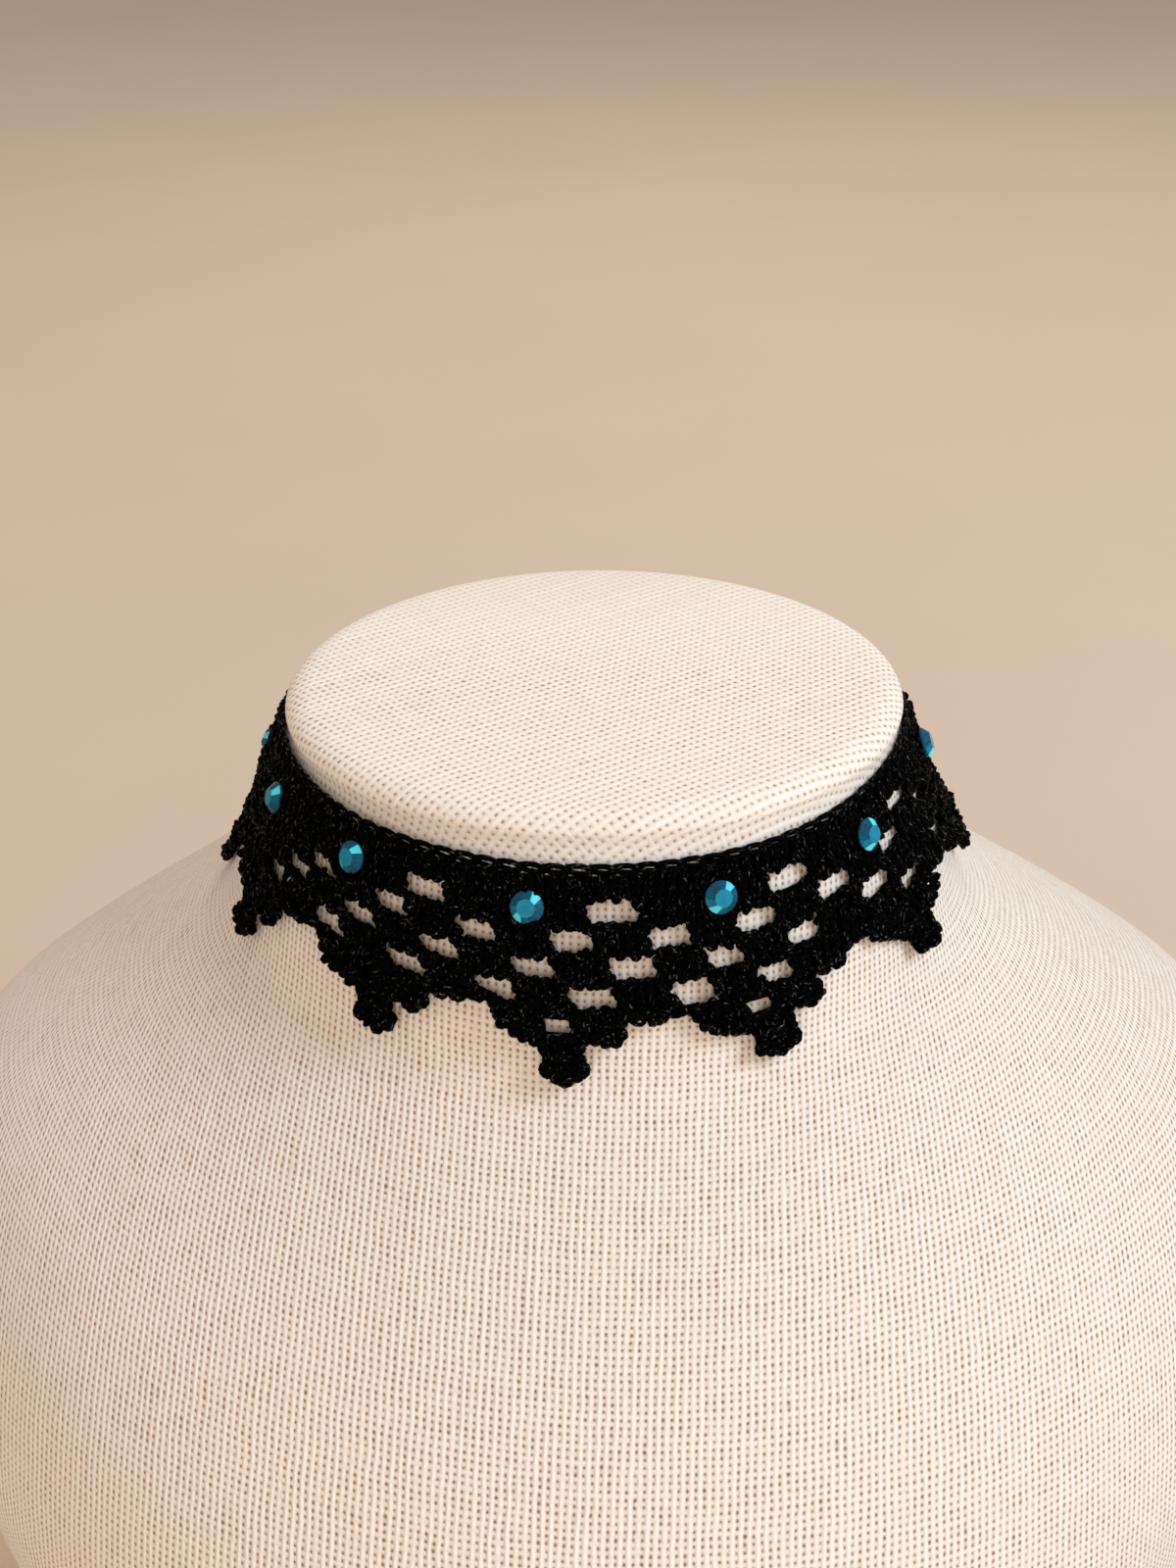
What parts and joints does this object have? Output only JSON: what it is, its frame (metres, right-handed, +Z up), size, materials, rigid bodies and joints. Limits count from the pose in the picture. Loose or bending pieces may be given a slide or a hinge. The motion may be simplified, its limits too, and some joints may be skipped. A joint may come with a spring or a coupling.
{
  "type": "lace choker on a neck bust",
  "caption": "Black crochet lace choker with a pointed lower edge and small faceted blue gems, closed round a plain linen neck bust on a flat base.",
  "frame": {"origin": "centre of the bust's footprint, on the surface it stands on", "axes": "+Z up, -Y the way the bust faces, +X to the right of someone who looks at its front"},
  "size_m": [0.254, 0.2186, 0.2],
  "materials": {
    "linen": "undyed plain-weave linen, matte",
    "lace": "black crochet cotton, soft sheen",
    "gem": "faceted teal-blue glass with a foiled back",
    "clasp": "black satin"
  },
  "bodies": {
    "root": {"neck_bust": "linen", "lace_band": "lace", "gem_01": "gem", "gem_02": "gem", "gem_03": "gem", "gem_04": "gem", "gem_05": "gem", "gem_06": "gem", "gem_07": "gem", "gem_08": "gem", "gem_09": "gem", "gem_10": "gem", "gem_11": "gem", "gem_12": "gem", "clasp": "clasp"}
  },
  "joints": []
}
